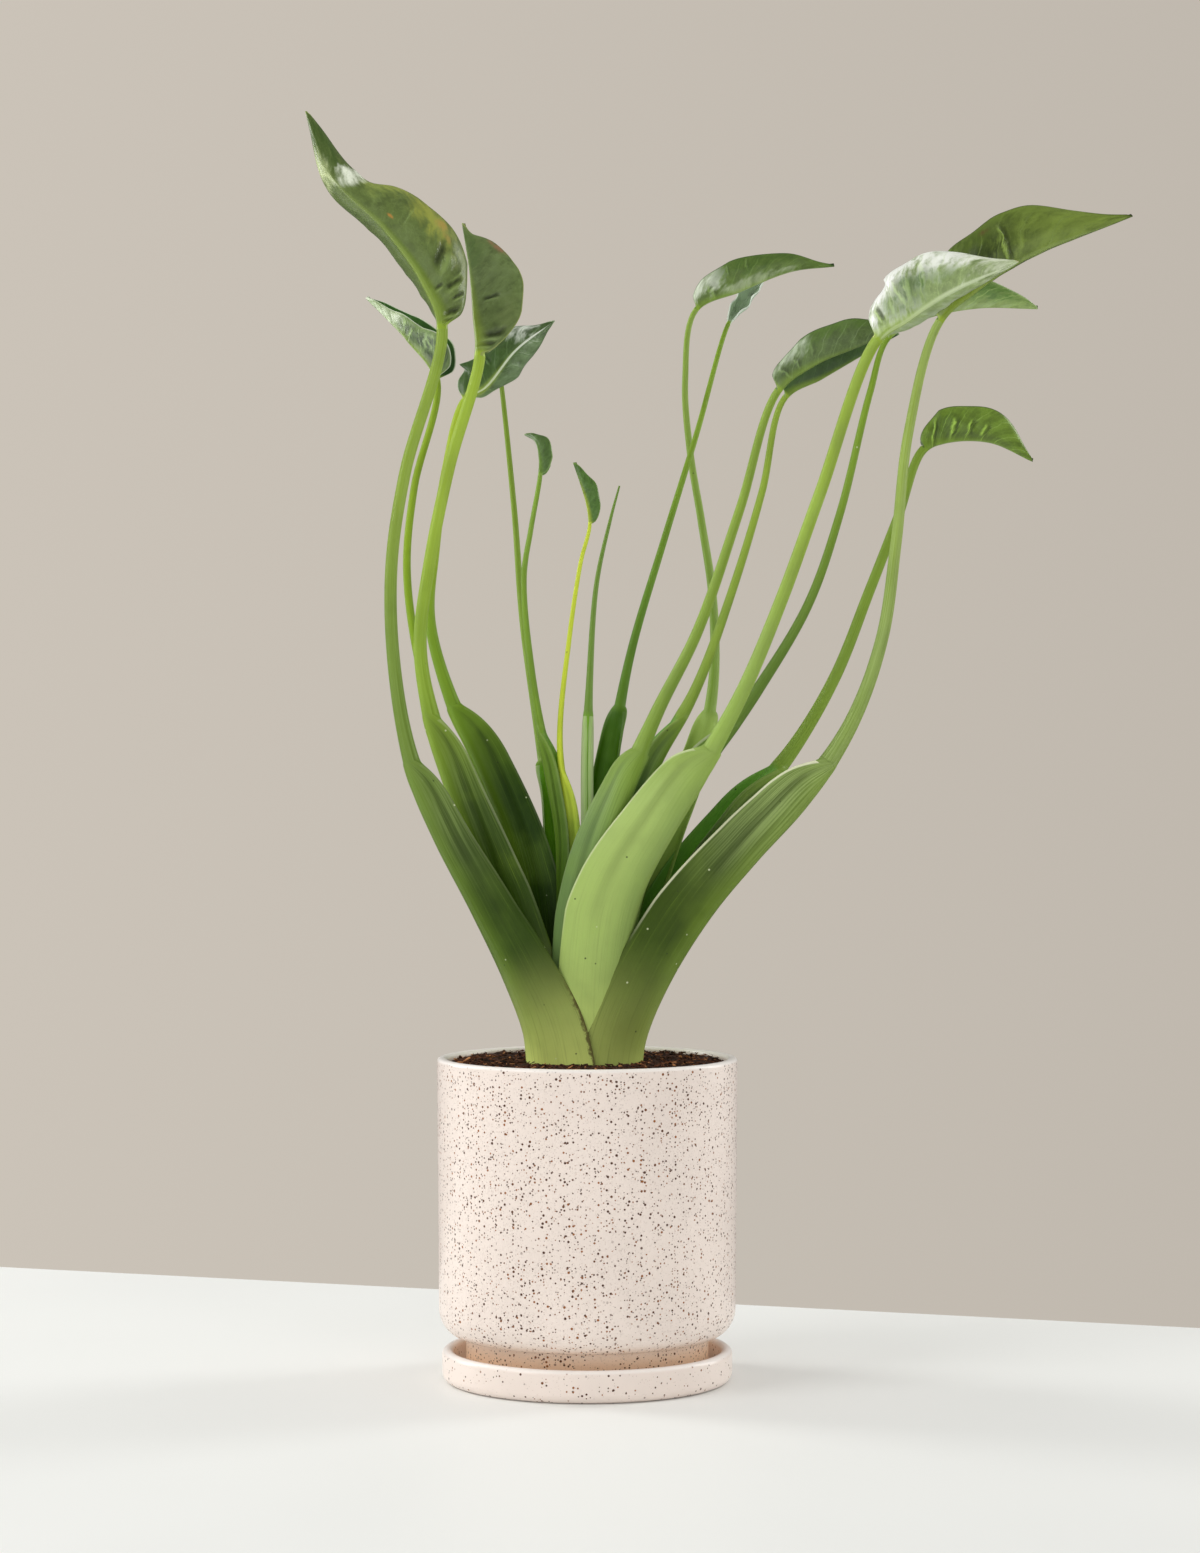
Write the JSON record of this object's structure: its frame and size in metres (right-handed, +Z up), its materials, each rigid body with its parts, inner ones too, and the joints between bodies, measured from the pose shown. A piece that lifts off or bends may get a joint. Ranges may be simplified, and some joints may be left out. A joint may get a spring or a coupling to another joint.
{
  "type": "potted alocasia plant",
  "caption": "Potted aroid house plant: clasping sheaths, long bowed stalks and cupped pointed blades, in a speckled round pot on its saucer.",
  "frame": {"origin": "centre of the saucer's flat underside, on the pot's axis", "axes": "+Z up along the pot's axis, -Y towards the viewer of the picture, +X to the viewer's right"},
  "size_m": [0.3527, 0.2115, 0.5433],
  "materials": {
    "pot_glaze": "satin blush glaze with fine brown speckles",
    "saucer_glaze": "glossier blush glaze with sparse brown speckles",
    "potting_mix": "dark damp fibrous mix",
    "stalk": "smooth fresh green, paler on ridges and wing edges",
    "blade": "thick leathery green with a silvery sheen and pale veins"
  },
  "bodies": {
    "root": {"pot": "pot_glaze", "saucer": "saucer_glaze", "soil": "potting_mix", "petiole_01": "stalk", "petiole_02": "stalk", "petiole_03": "stalk", "petiole_04": "stalk", "petiole_05": "stalk", "petiole_06": "stalk", "petiole_07": "stalk", "petiole_08": "stalk", "petiole_09": "stalk", "petiole_10": "stalk", "petiole_11": "stalk", "petiole_12": "stalk", "petiole_13": "stalk", "petiole_14": "stalk", "petiole_15": "stalk", "petiole_16": "stalk", "blade_01": "blade", "blade_02": "blade", "blade_03": "blade", "blade_04": "blade", "blade_05": "blade", "blade_06": "blade", "blade_07": "blade", "blade_09": "blade", "blade_10": "blade", "blade_11": "blade", "blade_12": "blade", "blade_13": "blade", "blade_14": "blade", "blade_15": "blade", "blade_16": "blade"}
  },
  "joints": []
}
